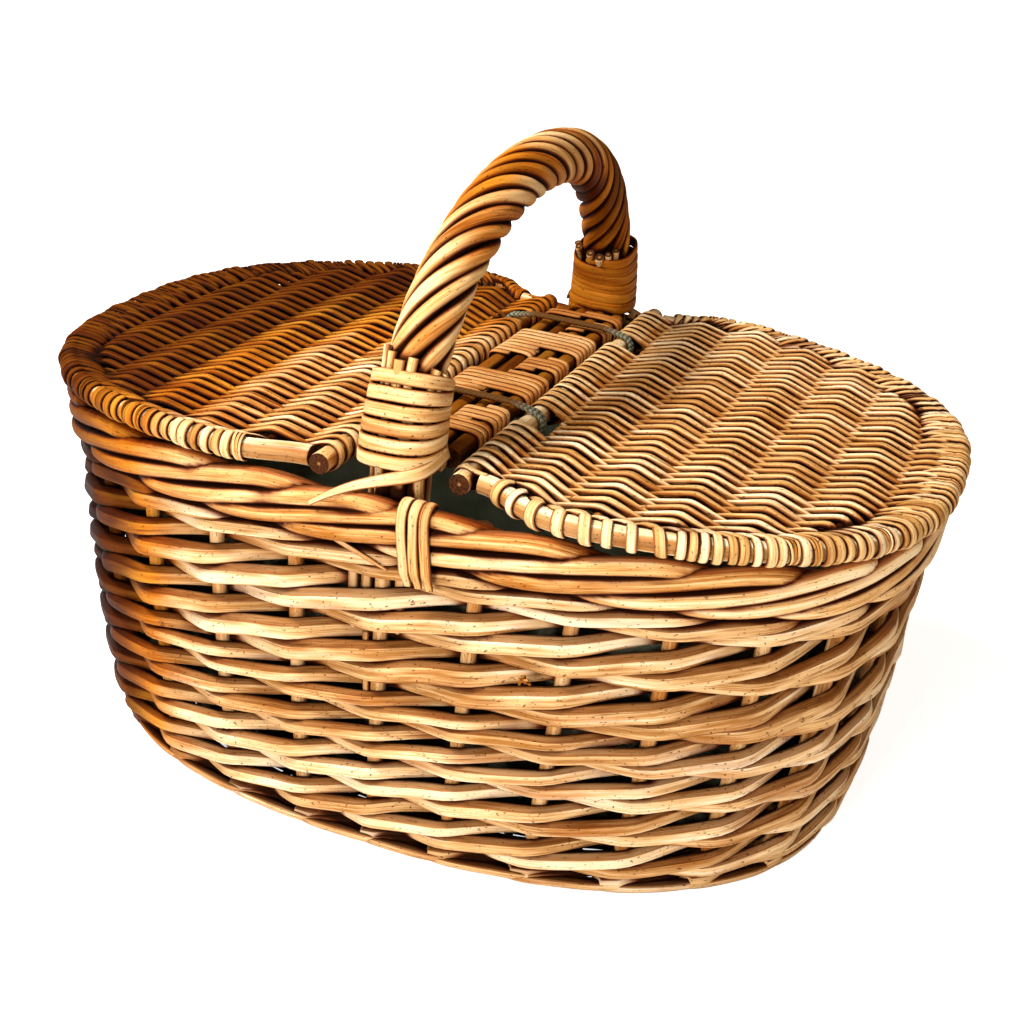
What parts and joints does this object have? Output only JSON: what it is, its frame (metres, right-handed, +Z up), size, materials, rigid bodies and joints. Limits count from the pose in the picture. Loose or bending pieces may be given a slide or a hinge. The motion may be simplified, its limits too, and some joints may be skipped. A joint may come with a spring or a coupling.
{
  "type": "picnic basket",
  "caption": "Oval willow picnic basket with a stacked border, two lids hinged on sticks either side of a fixed bar, a roped bow handle with wound collars, and a cloth liner.",
  "frame": {"origin": "middle of the underside of the base, on the surface that the basket stands on", "axes": "+Z up, X along the length of the basket with one lid at each end, +Y towards the back; the handle and the hinge axes run along Y"},
  "size_m": [0.4682, 0.3438, 0.3252],
  "materials": {
    "wall_willow": "peeled and boiled willow rods, golden to greyish tan, dry satin sheen",
    "border_willow": "thicker orange brown willow rods, varnished sheen, fine cracks",
    "handle_willow": "orange brown willow rods, worn satin",
    "skein": "flat split willow skein, satin",
    "lid_willow": "fine pale willow weavers and ribs, satin",
    "stick_willow": "thick pale willow sticks with darker cut ends",
    "hinge_cord": "grey twisted cord",
    "liner_cloth": "plain grey green cotton"
  },
  "bodies": {
    "root": {"base_weave": "wall_willow", "foot_wale": "wall_willow", "wall_weave_lower": "wall_willow", "wall_weave_upper": "wall_willow", "through_stake_01": "wall_willow", "through_stake_02": "wall_willow", "through_stake_03": "wall_willow", "through_stake_04": "wall_willow", "through_stake_05": "wall_willow", "through_stake_06": "wall_willow", "through_stake_07": "wall_willow", "through_stake_08": "wall_willow", "through_stake_09": "wall_willow", "through_stake_10": "wall_willow", "through_stake_11": "wall_willow", "through_stake_12": "wall_willow", "through_stake_13": "wall_willow", "through_stake_14": "wall_willow", "border_rod_1": "border_willow", "border_rod_2": "border_willow", "border_rod_3": "border_willow", "border_rod_4": "border_willow", "cloth_liner": "liner_cloth", "handle_core": "handle_willow", "handle_rod_1": "handle_willow", "handle_rod_2": "handle_willow", "handle_rod_3": "handle_willow", "handle_rod_4": "handle_willow", "handle_rod_5": "handle_willow", "handle_rod_6": "handle_willow", "handle_rod_7": "handle_willow", "handle_rod_8": "handle_willow", "handle_collar_front": "skein", "handle_collar_back": "skein", "border_lash_front": "skein", "border_lash_back": "skein", "bar_rod_1": "stick_willow", "bar_rod_2": "stick_willow", "bar_rod_3": "stick_willow", "bar_rod_4": "stick_willow", "bar_wrap": "skein", "hinge_tie_front": "hinge_cord", "hinge_tie_back": "hinge_cord"},
    "left_lid": {"left_hinge_stick": "stick_willow", "left_bow_stick": "stick_willow", "left_rib_1": "lid_willow", "left_rib_2": "lid_willow", "left_rib_3": "lid_willow", "left_rib_4": "lid_willow", "left_rib_5": "lid_willow", "left_panel_weave": "lid_willow"},
    "right_lid": {"right_hinge_stick": "stick_willow", "right_bow_stick": "stick_willow", "right_rib_1": "lid_willow", "right_rib_2": "lid_willow", "right_rib_3": "lid_willow", "right_rib_4": "lid_willow", "right_rib_5": "lid_willow", "right_panel_weave": "lid_willow"}
  },
  "joints": [
    {"name": "left_lid_hinge", "type": "hinge", "parent": "root", "child": "left_lid", "pos_m": [-0.031, 0, 0.199], "axis": [0, 1, 0], "range_deg": [0, 97]},
    {"name": "right_lid_hinge", "type": "hinge", "parent": "root", "child": "right_lid", "pos_m": [0.031, 0, 0.199], "axis": [0, -1, 0], "range_deg": [0, 95]}
  ]
}
